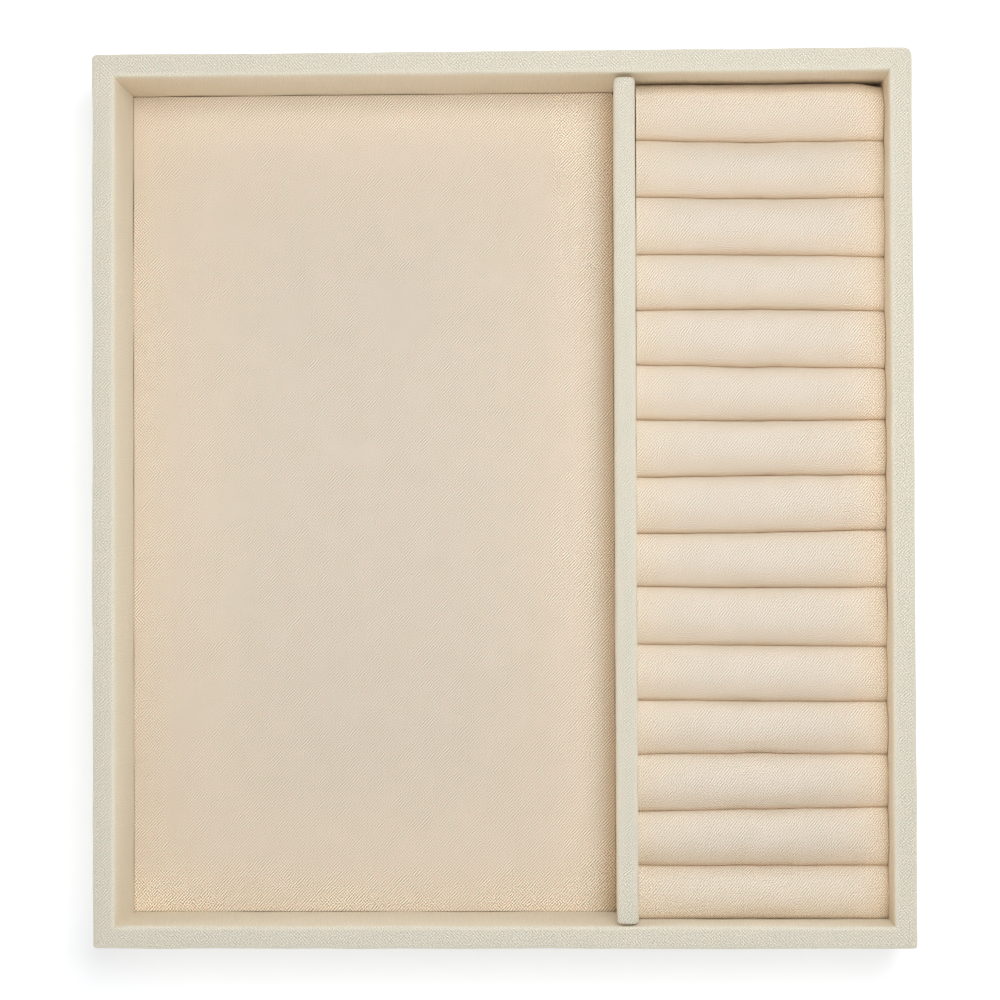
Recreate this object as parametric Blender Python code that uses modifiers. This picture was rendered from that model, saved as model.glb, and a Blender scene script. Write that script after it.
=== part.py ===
"""Ring tray insert.

A shallow tray of board wrapped in linen. A divider parts a large open compartment from a narrow bay,
where fifteen padded ring rolls lie on a card that lifts straight out. Metres, +Z up, +Y towards the
back wall, and the origin on the table under the centre of the tray.
"""

import math

import bmesh
import bpy
from mathutils import Matrix, Vector

# Tray, measured outside its linen
TRAY_WIDTH = 0.2560
TRAY_LENGTH = 0.2794
TRAY_HEIGHT = 0.0400
CORNER_RADIUS = 0.0022

# Layers, and the clearance between any two of them
FIT_GAP = 0.0003
CLOTH = 0.0007
FELT = 0.0010
BASE_BOARD = 0.0030
WALL_BOARD = 0.0052
DIVIDER_BOARD = 0.0046
LINER_CARD = 0.0014
CARRIER_CARD = 0.0014

# Linen over the walls
RIM_OUTER_ROUND = 0.0012
RIM_INNER_ROUND = 0.0020
INNER_CORNER_RADIUS = 0.0009
TURN_IN = 0.0120

# Felt under the base
FELT_INSET = 0.0040
FELT_CORNER_RADIUS = 0.0030

# Divider
RING_BAY_WIDTH = 0.0792
DIVIDER_DROP = 0.0008
DIVIDER_ROUND = 0.0017

# Floor liner of the open compartment
LINER_ROUND = 0.0011

# Ring rolls
ROLL_COUNT = 15
ROLL_HEIGHT = 0.0192
ROLL_CROWN = 0.0072
ROLL_END_ROUND = 0.0036
ROLL_CORNER_RADIUS = 0.0028

# Cutters run this far past what they cut, and points nearer than this are one
OVERRUN = 0.0030
MERGE = 0.00001

# Roundness
CORNER_STEPS = 3
FOLD_STEPS = 3
ROLL_STEPS = 6
SHARP_ANGLE = math.radians(40)

# Cloth with the gap under it, and the whole thickness of a covered wall and divider
COVERED = FIT_GAP + CLOTH
WALL = WALL_BOARD + 2 * COVERED
DIVIDER = DIVIDER_BOARD + 2 * COVERED

# Heights
WRAP_BOTTOM = FELT + FIT_GAP
BASE_BOTTOM = WRAP_BOTTOM + COVERED
SEAT = BASE_BOTTOM + BASE_BOARD + FIT_GAP
LINER_TOP = SEAT + LINER_CARD + COVERED
ROLL_BOTTOM = SEAT + CARRIER_CARD + FIT_GAP
DIVIDER_TOP = TRAY_HEIGHT - DIVIDER_DROP

# Plan of the two compartments
BAY_LENGTH = TRAY_LENGTH - 2 * WALL
INNER_RIGHT = TRAY_WIDTH / 2 - WALL
INNER_LEFT = -INNER_RIGHT
DIVIDER_RIGHT = INNER_RIGHT - RING_BAY_WIDTH
DIVIDER_LEFT = DIVIDER_RIGHT - DIVIDER

# Each wall's turn about Z, its span, and how far its outside is from the centre
WALLS = {
    "back": (0, TRAY_WIDTH, TRAY_LENGTH / 2),
    "left": (math.pi / 2, TRAY_LENGTH, TRAY_WIDTH / 2),
    "front": (math.pi, TRAY_WIDTH, TRAY_LENGTH / 2),
    "right": (-math.pi / 2, TRAY_LENGTH, TRAY_WIDTH / 2),
}
WALLS_BETWEEN = ("back", "front")

# Base colour and roughness of each finish
FINISHES = {
    "greige_linen": ((0.73, 0.68, 0.55), 0.90),
    "blush_cloth": ((0.79, 0.68, 0.54), 0.90),
    "grey_board": ((0.38, 0.33, 0.27), 0.85),
    "white_card": ((0.72, 0.70, 0.66), 0.80),
    "foam": ((0.80, 0.78, 0.72), 0.95),
    "beige_felt": ((0.50, 0.44, 0.36), 1.00),
}


def clear_scene():
    for item in list(bpy.data.objects):
        bpy.data.objects.remove(item, do_unlink=True)


def add_collection(name):
    collection = bpy.data.collections.new(name)
    bpy.context.scene.collection.children.link(collection)
    return collection


def add_finish(name):
    colour, roughness = FINISHES[name]
    material = bpy.data.materials.new(name)
    material.use_nodes = True
    shader = material.node_tree.nodes["Principled BSDF"]
    shader.inputs["Base Color"].default_value = (*colour, 1)
    shader.inputs["Roughness"].default_value = roughness
    shader.inputs["Metallic"].default_value = 0
    return material


def add_carrier(name, place, collection):
    """An empty that carries the pieces of one rigid body."""
    carrier = bpy.data.objects.new(name, None)
    carrier.location = place
    collection.objects.link(carrier)
    return carrier


def add_piece(name, mesh, finish, carrier, place, turn=0):
    """A sub-part at a place in the tray, carried by an empty."""
    if not mesh.materials:
        mesh.materials.append(bpy.data.materials.get(finish) or add_finish(finish))
    piece = bpy.data.objects.new(name, mesh)
    piece.parent = carrier
    piece.location = Vector(place) - carrier.location
    piece.rotation_euler.z = turn
    carrier.users_collection[0].objects.link(piece)
    return piece


def finish_mesh(name, bm):
    bmesh.ops.recalc_face_normals(bm, faces=bm.faces)
    mesh = bpy.data.meshes.new(name)
    bm.to_mesh(mesh)
    bm.free()
    mesh.shade_smooth()
    mesh.set_sharp_from_angle(angle=SHARP_ANGLE)
    return mesh


def block(width, length, height):
    """A box about the origin."""
    bm = bmesh.new()
    bmesh.ops.create_cube(bm, size=1, matrix=Matrix.Diagonal((width, length, height, 1)))
    return bm


def round_edges(bm, radius, steps, chosen):
    """Rounds each edge whose middle and direction are chosen."""
    edges = []
    for edge in bm.edges:
        start, end = (vert.co for vert in edge.verts)
        if chosen((start + end) / 2, (end - start).normalized()):
            edges.append(edge)
    bmesh.ops.bevel(bm, geom=edges, offset=radius, segments=steps, profile=0.5, affect="EDGES")


def is_upright(middle, along):
    return abs(along.z) > 0.5


def is_upright_outside(middle, along):
    return abs(along.z) > 0.5 and middle.y > 0


def is_top_inside(middle, along):
    return abs(along.x) > 0.5 and middle.z > 0 and middle.y < 0


def is_top_outside(middle, along):
    return abs(along.x) > 0.5 and middle.z > 0 and middle.y > 0


def is_not_bottom(middle, along):
    return abs(along.z) > 0.5 or middle.z > 0


def wrap(piece):
    """Gives an outer surface the thickness of the cloth, inwards."""
    cloth = piece.modifiers.new("cloth", "SOLIDIFY")
    cloth.thickness = CLOTH
    cloth.offset = -1
    cloth.use_even_offset = True


def sleeve_mesh(name, width, length, height, radius):
    """The outside of a cloth sleeve: a box that is open below, with its other edges rounded."""
    bm = block(width, length, height)
    underside = [face for face in bm.faces if face.normal.z < -0.5]
    bmesh.ops.delete(bm, geom=underside, context="FACES")
    round_edges(bm, radius, FOLD_STEPS, is_not_bottom)
    return finish_mesh(name, bm)


def rounded_rectangle(half_width, half_length, radius):
    """Points of a rounded rectangle, counter-clockwise, CORNER_STEPS + 1 at each corner."""
    points = []
    for corner, (across, along) in enumerate(((1, 1), (-1, 1), (-1, -1), (1, -1))):
        centre = Vector((across * (half_width - radius), along * (half_length - radius)))
        for step in range(CORNER_STEPS + 1):
            angle = (corner + step / CORNER_STEPS) * math.pi / 2
            points.append(centre + radius * Vector((math.cos(angle), math.sin(angle))))
    return points


def loft(rings):
    """A surface through outlines of equal count, given as (outline, height) pairs."""
    bm = bmesh.new()
    loops = [[bm.verts.new((*point, height)) for point in outline] for outline, height in rings]
    for lower, upper in zip(loops, loops[1:]):
        for here in range(len(lower)):
            after = (here + 1) % len(lower)
            bm.faces.new((lower[here], lower[after], upper[after], upper[here]))
    return bm, loops


def arc_shares(steps):
    """Sine and cosine at even steps of a quarter turn, from its start to its end."""
    angles = [step / steps * math.pi / 2 for step in range(steps + 1)]
    return [(math.sin(angle), math.cos(angle)) for angle in angles]


# Tray


def add_underside_felt(tray):
    bm = block(TRAY_WIDTH - 2 * FELT_INSET, TRAY_LENGTH - 2 * FELT_INSET, FELT)
    round_edges(bm, FELT_CORNER_RADIUS, CORNER_STEPS, is_upright)
    mesh = finish_mesh("underside_felt", bm)
    add_piece("underside_felt", mesh, "beige_felt", tray, (0, 0, FELT / 2))


def add_base_board(tray):
    bm = block(TRAY_WIDTH - 2 * COVERED, TRAY_LENGTH - 2 * COVERED, BASE_BOARD)
    round_edges(bm, CORNER_RADIUS - COVERED, CORNER_STEPS, is_upright)
    mesh = finish_mesh("base_board", bm)
    add_piece("base_board", mesh, "grey_board", tray, (0, 0, BASE_BOTTOM + BASE_BOARD / 2))


def add_wall_board(side, tray):
    """A strip that stands on the base; the back and front ones fit between the other two."""
    turn, span, reach = WALLS[side]
    length = span - 2 * COVERED
    if side in WALLS_BETWEEN:
        length -= 2 * (WALL_BOARD + FIT_GAP)
    height = TRAY_HEIGHT - COVERED - SEAT
    bm = block(length, WALL_BOARD, height)
    round_edges(bm, RIM_INNER_ROUND - COVERED, FOLD_STEPS, is_top_inside)
    round_edges(bm, RIM_OUTER_ROUND - COVERED, 1, is_top_outside)
    if side not in WALLS_BETWEEN:
        round_edges(bm, CORNER_RADIUS - COVERED, CORNER_STEPS, is_upright_outside)
    name = f"{side}_wall_board"
    inset = Vector((0, reach - COVERED - WALL_BOARD / 2, SEAT + height / 2))
    place = Matrix.Rotation(turn, 3, "Z") @ inset
    add_piece(name, finish_mesh(name, bm), "grey_board", tray, place, turn)


def linen_wrap_mesh():
    """The outside of the linen round all four walls, from its turned-in edge over the rim."""
    profile = [(TURN_IN, 0)]
    for rise, run in arc_shares(FOLD_STEPS):
        profile.append((COVERED * (1 - rise), COVERED * (1 - run)))
    top = TRAY_HEIGHT - WRAP_BOTTOM
    for rise, run in arc_shares(FOLD_STEPS):
        profile.append((RIM_OUTER_ROUND * (1 - run), top - RIM_OUTER_ROUND * (1 - rise)))
    for rise, run in arc_shares(FOLD_STEPS):
        profile.append((WALL - RIM_INNER_ROUND * (1 - rise), top - RIM_INNER_ROUND * (1 - run)))
    profile.append((WALL, SEAT - WRAP_BOTTOM))
    rings = []
    for inset, height in profile:
        radius = max(CORNER_RADIUS - inset, INNER_CORNER_RADIUS)
        outline = rounded_rectangle(TRAY_WIDTH / 2 - inset, TRAY_LENGTH / 2 - inset, radius)
        rings.append((outline, height))
    bm, loops = loft(rings)
    return finish_mesh("wall_linen", bm)


def add_mitre_wedge(side, cutters):
    """The space of one wall's linen, out to the mitred corners."""
    turn, span, reach = WALLS[side]
    depth = TURN_IN + OVERRUN
    bm = block(span, depth + OVERRUN, TRAY_HEIGHT + 2 * OVERRUN)
    bmesh.ops.translate(bm, verts=bm.verts, vec=(0, (OVERRUN - depth) / 2, 0))
    for vert in bm.verts:
        half_span = span / 2 + vert.co.y - FIT_GAP / math.sqrt(2)
        vert.co.x = math.copysign(half_span, vert.co.x)
    name = f"{side}_mitre_wedge"
    wedge = bpy.data.objects.new(name, finish_mesh(name, bm))
    wedge.location = Matrix.Rotation(turn, 3, "Z") @ Vector((0, reach, TRAY_HEIGHT / 2))
    wedge.rotation_euler.z = turn
    wedge.hide_render = True
    wedge.display_type = "WIRE"
    cutters.objects.link(wedge)
    return wedge


def add_wall_linen(side, wrap_mesh, tray, cutters):
    linen = add_piece(f"{side}_wall_linen", wrap_mesh, "greige_linen", tray, (0, 0, WRAP_BOTTOM))
    wrap(linen)
    mitre = linen.modifiers.new("mitre", "BOOLEAN")
    mitre.operation = "INTERSECT"
    mitre.solver = "EXACT"
    mitre.object = add_mitre_wedge(side, cutters)


def add_divider(tray):
    """A board that stands on the base across the tray, in a linen sleeve with closed ends."""
    height = DIVIDER_TOP - SEAT
    length = BAY_LENGTH - 2 * FIT_GAP
    across = (DIVIDER_LEFT + DIVIDER_RIGHT) / 2
    bm = block(DIVIDER_BOARD, length - 2 * COVERED, height - COVERED)
    round_edges(bm, DIVIDER_ROUND - COVERED, FOLD_STEPS, is_not_bottom)
    board = finish_mesh("divider_board", bm)
    board_middle = SEAT + (height - COVERED) / 2
    add_piece("divider_board", board, "grey_board", tray, (across, 0, board_middle))
    sleeve = sleeve_mesh("divider_linen", DIVIDER, length, height, DIVIDER_ROUND)
    linen = add_piece("divider_linen", sleeve, "greige_linen", tray, (across, 0, SEAT + height / 2))
    wrap(linen)


def add_floor_liner(tray):
    """A card wrapped in blush cloth that fills the floor of the open compartment."""
    width = DIVIDER_LEFT - INNER_LEFT - 2 * FIT_GAP
    length = BAY_LENGTH - 2 * FIT_GAP
    height = LINER_TOP - SEAT
    across = (DIVIDER_LEFT + INNER_LEFT) / 2
    bm = block(width - 2 * COVERED, length - 2 * COVERED, LINER_CARD)
    round_edges(bm, LINER_ROUND - COVERED, 1, is_not_bottom)
    card = finish_mesh("floor_liner_card", bm)
    add_piece("floor_liner_card", card, "white_card", tray, (across, 0, SEAT + LINER_CARD / 2))
    sleeve = sleeve_mesh("floor_liner_linen", width, length, height, LINER_ROUND)
    place = (across, 0, SEAT + height / 2)
    wrap(add_piece("floor_liner_linen", sleeve, "blush_cloth", tray, place))


# Ring pad


def roll_rings(length, width, height, crown, end_round, corner_radius):
    """Outlines of a roll: upright sides to its shoulder, then a crown that draws in at the ends."""
    rings = [(rounded_rectangle(length / 2, width / 2, corner_radius), 0)]
    for rise, run in arc_shares(ROLL_STEPS):
        half_length = length / 2 - end_round * (1 - run)
        half_width = width / 2 * run
        outline = rounded_rectangle(half_length, half_width, min(corner_radius, half_width))
        rings.append((outline, height - crown * (1 - rise)))
    return rings


def roll_mesh(name, rings, has_underside):
    bm, loops = loft(rings)
    if has_underside:
        bm.faces.new(loops[0])
    bmesh.ops.remove_doubles(bm, verts=bm.verts, dist=MERGE)
    return finish_mesh(name, bm)


def add_ring_carrier_card(ring_pad):
    bm = block(RING_BAY_WIDTH - 2 * FIT_GAP, BAY_LENGTH - 2 * FIT_GAP, CARRIER_CARD)
    round_edges(bm, INNER_CORNER_RADIUS, CORNER_STEPS, is_upright)
    mesh = finish_mesh("ring_carrier_card", bm)
    middle = ring_pad.location + Vector((0, 0, CARRIER_CARD / 2))
    add_piece("ring_carrier_card", mesh, "white_card", ring_pad, middle)


def add_ring_rolls(ring_pad):
    """Foam cores in cloth covers, side by side from the back wall to the front one."""
    pitch = (BAY_LENGTH - FIT_GAP) / ROLL_COUNT
    width = pitch - FIT_GAP
    length = RING_BAY_WIDTH - 2 * FIT_GAP
    outer = (length, width, ROLL_HEIGHT, ROLL_CROWN, ROLL_END_ROUND, ROLL_CORNER_RADIUS)
    inner = (
        length - 2 * COVERED,
        width - 2 * COVERED,
        ROLL_HEIGHT - COVERED,
        ROLL_CROWN - COVERED,
        ROLL_END_ROUND - COVERED,
        ROLL_CORNER_RADIUS - COVERED,
    )
    cover_mesh = roll_mesh("ring_roll_cover", roll_rings(*outer), has_underside=False)
    foam_mesh = roll_mesh("ring_roll_foam", roll_rings(*inner), has_underside=True)
    first = BAY_LENGTH / 2 - FIT_GAP - width / 2
    for number in range(ROLL_COUNT):
        place = (ring_pad.location.x, first - number * pitch, ROLL_BOTTOM)
        label = f"{number + 1:02d}"
        add_piece(f"ring_roll_foam_{label}", foam_mesh, "foam", ring_pad, place)
        cover = add_piece(f"ring_roll_cover_{label}", cover_mesh, "blush_cloth", ring_pad, place)
        wrap(cover)


def main():
    clear_scene()
    parts = add_collection("ring_tray_insert")
    cutters = add_collection("cutters")

    tray = add_carrier("tray", (0, 0, 0), parts)
    add_underside_felt(tray)
    add_base_board(tray)
    wrap_mesh = linen_wrap_mesh()
    for side in WALLS:
        add_wall_board(side, tray)
        add_wall_linen(side, wrap_mesh, tray, cutters)
    add_divider(tray)
    add_floor_liner(tray)

    bay_centre = (DIVIDER_RIGHT + INNER_RIGHT) / 2
    ring_pad = add_carrier("ring_pad", (bay_centre, 0, SEAT), parts)
    add_ring_carrier_card(ring_pad)
    add_ring_rolls(ring_pad)


main()
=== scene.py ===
"""Dresses the ring tray insert: linen wraps, divider, floor liner, ring rolls, hidden boards and a stage.

Metres, +Z up, +Y towards the back wall. The CAD nodes give every place, and each finished piece keeps
its place in its mesh.
"""

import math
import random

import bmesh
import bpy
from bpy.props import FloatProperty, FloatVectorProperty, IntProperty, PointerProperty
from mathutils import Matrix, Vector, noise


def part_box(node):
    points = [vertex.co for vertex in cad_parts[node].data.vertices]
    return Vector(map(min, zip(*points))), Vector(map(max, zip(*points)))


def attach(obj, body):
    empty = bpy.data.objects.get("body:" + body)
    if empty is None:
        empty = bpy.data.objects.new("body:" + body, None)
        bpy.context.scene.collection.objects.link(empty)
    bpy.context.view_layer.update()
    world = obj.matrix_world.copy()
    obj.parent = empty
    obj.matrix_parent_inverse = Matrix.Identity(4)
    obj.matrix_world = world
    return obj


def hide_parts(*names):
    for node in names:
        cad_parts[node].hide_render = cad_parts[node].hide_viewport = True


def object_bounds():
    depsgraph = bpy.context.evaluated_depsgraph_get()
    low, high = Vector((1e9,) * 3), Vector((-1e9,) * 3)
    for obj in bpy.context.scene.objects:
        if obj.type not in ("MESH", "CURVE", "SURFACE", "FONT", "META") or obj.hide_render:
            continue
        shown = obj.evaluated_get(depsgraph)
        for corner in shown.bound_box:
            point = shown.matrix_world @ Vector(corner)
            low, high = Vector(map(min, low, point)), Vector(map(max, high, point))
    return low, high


bl_info = {
    "name": "Ring tray insert",
    "version": (1, 0, 0),
    "blender": (4, 5, 0),
    "location": "3D View > Sidebar > Ring tray",
    "description": "Linen wraps, floor liner, divider, ring rolls and a stage for the ring tray insert",
    "category": "Object",
}

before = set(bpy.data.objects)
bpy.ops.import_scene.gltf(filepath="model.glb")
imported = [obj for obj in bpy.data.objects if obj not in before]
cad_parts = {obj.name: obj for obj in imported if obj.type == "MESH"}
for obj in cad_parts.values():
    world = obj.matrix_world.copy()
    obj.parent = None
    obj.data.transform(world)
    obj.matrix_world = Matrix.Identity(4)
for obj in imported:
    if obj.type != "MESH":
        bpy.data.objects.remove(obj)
CAD_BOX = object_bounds()

WEAVE_MAP = "weave"
# Name of the point attribute that holds painted shade, from 0 to 1
PAINTED_SHADE_MAP = "painted_shade"
ROLL_COUNT = 15

# What stays hidden under the cloth keeps its CAD shape and takes one of these finishes
BOARD_NODES = (
    "base_board",
    "back_wall_board",
    "front_wall_board",
    "left_wall_board",
    "right_wall_board",
    "divider_board",
)
CARD_NODES = ("floor_liner_card", "ring_carrier_card")

# Strength of the dome of light, as steps over the height of the sky that add up
DOME_STEPS = ((0.25, 0.45, 1.65, 0.40), (0.65, 0.80, 0.0, -0.40))

# Soft lamps: name, place in metres, width in metres and power in watts
SOFTBOXES = (("key", (0.134, 0.155, 0.70), 0.36, 2.44), ("fill", (-0.892, -0.892, 1.83), 1.1, 5.6))

# Each wall's turn about Z, from a wall whose outside looks along +Y
WALL_TURNS = {"back": 0, "left": math.pi / 2, "front": math.pi, "right": -math.pi / 2}

# How strongly painted shade darkens and warms each wall's inner face, from 0 to 1
WALL_PAINTED_SHADE = {"back": 0.80, "left": 0.35, "front": 0.35, "right": 1.0}

# Seams between neighbouring rolls, back to front, in millimetres: how far each is from its even place,
# how much its right end lies further back than its middle, and how much its ends lie behind its middle
SEAM_DRIFTS_MM = (
    (-1.15, -0.35, 0.3),
    (-1.53, -0.3, 0.4),
    (-2.08, -0.6, -0.4),
    (-1.85, -0.3, -0.4),
    (-2.32, -0.75, 0.1),
    (-1.65, -0.15, 0.2),
    (-1.55, 0.25, -0.1),
    (-1.82, 0.45, 0.2),
    (-1.6, -0.25, 0.4),
    (-2.35, -0.5, 0.0),
    (-2.25, -0.25, 0.1),
    (-1.32, -0.1, -0.2),
    (-1.15, 0.65, -0.1),
    (-1.2, -0.05, 0.2),
)

# Open gaps between the divider and the first rolls, in millimetres, and beside all others
LEFT_GAPS_MM = {1: 0.66, 2: 0.62, 3: 0.58, 4: 0.55, 5: 0.50, 6: 0.40}
LEFT_GAP_MM = 0.28


def corners(node):
    low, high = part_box(node)
    return Vector(low), Vector(high)


# Places read from the CAD
TRAY_HIGH = Vector(CAD_BOX[1])
WRAP_BOTTOM = corners("back_wall_linen")[0].z
BACK_BOARD_LOW, BACK_BOARD_HIGH = corners("back_wall_board")
COVERED = TRAY_HIGH.y - BACK_BOARD_HIGH.y
INNER_BACK = BACK_BOARD_LOW.y - COVERED
WALL = TRAY_HIGH.y - INNER_BACK
SEAT = BACK_BOARD_LOW.z


class RingTraySizes(bpy.types.PropertyGroup):
    cloth: FloatProperty(
        name="Cloth", description="Thickness of the cloth", default=0.0006, unit="LENGTH", precision=5
    )
    mitre_overlap: FloatProperty(
        name="Overlap", description="How far the inner faces overlap in a corner", default=0.00045, unit="LENGTH", precision=5
    )
    rim_outer_round: FloatProperty(
        name="Outer rim", description="Radius of the rim outside", default=0.0012, unit="LENGTH", precision=5
    )
    rim_inner_round: FloatProperty(
        name="Inner rim", description="Radius of the rim inside", default=0.0013, unit="LENGTH", precision=5
    )
    pressed_in: FloatProperty(
        name="Pressed in", description="How far the inner linen is pressed back", default=0.0003, unit="LENGTH", precision=6
    )
    fold_round: FloatProperty(
        name="Bottom fold", description="Radius of the fold under the base", default=0.0009, unit="LENGTH", precision=5
    )
    turn_in: FloatProperty(
        name="Turn-in", description="Linen turned in under the base", default=0.0120, unit="LENGTH"
    )
    corner_rounds: FloatVectorProperty(
        name="Corners",
        description="Outer corner radii: back left, back right, front right, front left",
        size=4,
        default=(0.0014, 0.0025, 0.0012, 0.0014),
        unit="LENGTH",
        precision=5,
    )
    mitre_gap: FloatProperty(
        name="Mitre", description="Half the open seam at a corner", default=0.0, unit="LENGTH", precision=6
    )
    sag: FloatProperty(
        name="Unevenness", description="Swell and sink of glued linen", default=0.00022, unit="LENGTH", precision=6
    )
    divider_round: FloatProperty(
        name="Divider top", description="Radius along the divider's top", default=0.0024, unit="LENGTH", precision=5
    )
    divider_end_round: FloatProperty(
        name="Divider ends", description="Radius of the divider's upright edges", default=0.0010, unit="LENGTH", precision=5
    )
    divider_shift: FloatProperty(
        name="Divider shift", description="How far the sleeve lies to the right of its place", default=0.0004, unit="LENGTH", precision=5
    )
    divider_end_gap: FloatProperty(
        name="Divider gap", description="Open gap behind the divider's back end", default=0.0008, unit="LENGTH", precision=5
    )
    liner_round: FloatProperty(
        name="Liner edge", description="Radius round the floor liner", default=0.0004, unit="LENGTH", precision=5
    )
    liner_corner: FloatProperty(
        name="Liner corner", description="Radius of the floor liner's corners", default=0.0006, unit="LENGTH", precision=5
    )
    liner_spread: FloatProperty(
        name="Liner spread", description="How far the liner's cloth fills its clearance", default=0.00024, unit="LENGTH", precision=6
    )
    roll_crown: FloatProperty(
        name="Roll crown", description="How far the top of a roll arches above its seams", default=0.0038, unit="LENGTH", precision=5
    )
    roll_left_round: FloatProperty(
        name="Roll left end", description="Radius round the end at the divider", default=0.0006, unit="LENGTH", precision=5
    )
    roll_right_round: FloatProperty(
        name="Roll right end", description="Radius round the end at the wall", default=0.0007, unit="LENGTH", precision=5
    )
    roll_fall: FloatProperty(
        name="Roll fall", description="How far a roll's top falls towards the wall", default=0.0006, unit="LENGTH", precision=5
    )
    roll_fall_length: FloatProperty(
        name="Roll fall length", description="Length over which the top falls", default=0.0050, unit="LENGTH", precision=5
    )
    roll_end_spread: FloatProperty(
        name="Roll end spread", description="How far a roll's ends fill their clearance", default=0.00024, unit="LENGTH", precision=6
    )
    end_press: FloatProperty(
        name="End press", description="How much longer a roll would be if the wall let it", default=0.0006, unit="LENGTH", precision=5
    )
    back_fall: FloatProperty(
        name="Back fall", description="How far the first roll's top drops at the back wall", default=0.0029, unit="LENGTH", precision=5
    )
    back_reach: FloatProperty(
        name="Back reach", description="Width of that drop", default=0.0045, unit="LENGTH", precision=5
    )
    back_dip: FloatProperty(
        name="Back dip", description="How far it stands off the wall at the right corner", default=0.0012, unit="LENGTH", precision=5
    )
    roll_unevenness: FloatProperty(
        name="Roll unevenness", description="Swell and sink along a roll", default=0.00024, unit="LENGTH", precision=6
    )
    trim: FloatProperty(
        name="Trim", description="Cloth cut off at the divider end", default=0.0020, unit="LENGTH", precision=5
    )
    squeeze: FloatProperty(
        name="Squeeze", description="How much wider a roll would be if its neighbours let it", default=1.05, precision=3
    )
    seam_gap: FloatProperty(
        name="Roll seam", description="Half the gap between two rolls", default=0.00003, unit="LENGTH", precision=6
    )
    roll_grid: FloatProperty(
        name="Roll mesh", description="Size of a roll's mesh squares", default=0.0013, unit="LENGTH", precision=5
    )
    pressure: FloatProperty(name="Filling", description="Pressure that swells a roll", default=4.0)
    swell_limit: FloatProperty(
        name="Swell limit", description="How far the filling moves the cloth", default=0.0009, unit="LENGTH", precision=5
    )
    thread_across: FloatProperty(
        name="Warp pitch", description="Distance between threads across", default=0.000500, unit="LENGTH", precision=6
    )
    thread_along: FloatProperty(
        name="Weft pitch", description="Distance between threads along", default=0.000535, unit="LENGTH", precision=6
    )


def colour_property(name, description, default):
    return FloatVectorProperty(
        name=name, description=description, default=default, size=3, min=0, max=1, subtype="COLOR"
    )


class RingTrayColours(bpy.types.PropertyGroup):
    greige: colour_property("Greige linen", "Colour of the walls and the divider", (0.742, 0.698, 0.582))
    blush: colour_property("Blush cloth", "Colour of the floor liner and the rolls", (0.872, 0.778, 0.655))
    board: colour_property("Grey board", "Colour of the board inside the walls", (0.38, 0.33, 0.27))
    card: colour_property("White card", "Colour of the cards under the cloth", (0.72, 0.70, 0.66))
    foam: colour_property("Foam", "Colour of the cores of the rolls", (0.80, 0.78, 0.72))
    felt: colour_property("Felt", "Colour of the pad under the tray", (0.50, 0.44, 0.36))
    floor: colour_property("Floor", "Colour of the floor of the stage", (0.915, 0.93, 0.955))


# Materials


class Bench:
    """One material, and the nodes that are added to it."""

    def __init__(self, name, roughness):
        self.material = bpy.data.materials.new(name)
        self.material.use_nodes = True
        self.tree = self.material.node_tree
        self.shader = self.tree.nodes["Principled BSDF"]
        self.shader.inputs["Roughness"].default_value = roughness
        self.shader.inputs["Specular IOR Level"].default_value = 0.2

    def add(self, kind, sockets, output=0, **settings):
        node = self.tree.nodes.new(kind)
        for key, value in settings.items():
            setattr(node, key, value)
        for key, value in sockets.items():
            if isinstance(value, bpy.types.NodeSocket):
                self.tree.links.new(value, node.inputs[key])
            else:
                node.inputs[key].default_value = value
        return node.outputs[output]

    def sum(self, operation, *values):
        return self.add("ShaderNodeMath", dict(enumerate(values)), operation=operation)

    def noise(self, vector, scale, detail=2.0, output=0, **sockets):
        sockets = {"Vector": vector, "Scale": scale, "Detail": detail, **sockets}
        return self.add("ShaderNodeTexNoise", sockets, output)

    def stretched(self, vector, scale):
        return self.add("ShaderNodeMapping", {"Vector": vector, "Scale": scale})

    def between(self, value, low, high, to_low=0.0, to_high=1.0):
        sockets = {"Value": value, 1: low, 2: high, 3: to_low, 4: to_high}
        return self.add("ShaderNodeMapRange", sockets, interpolation_type="SMOOTHSTEP")

    def scaled(self, colour, amount):
        return self.add("ShaderNodeVectorMath", {0: colour, "Scale": amount}, operation="SCALE")

    def mixed(self, amount, first, second):
        sockets = {0: amount, 6: first, 7: second}
        return self.add("ShaderNodeMix", sockets, 2, data_type="RGBA")

    def finish(self, colour, height, distance, strength):
        """Links the colour, and a relief of a given depth in metres."""
        self.tree.links.new(colour, self.shader.inputs["Base Color"])
        sockets = {"Height": height, "Distance": distance, "Strength": strength}
        normal = self.add("ShaderNodeBump", sockets)
        self.tree.links.new(normal, self.shader.inputs["Normal"])
        return self.material


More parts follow.
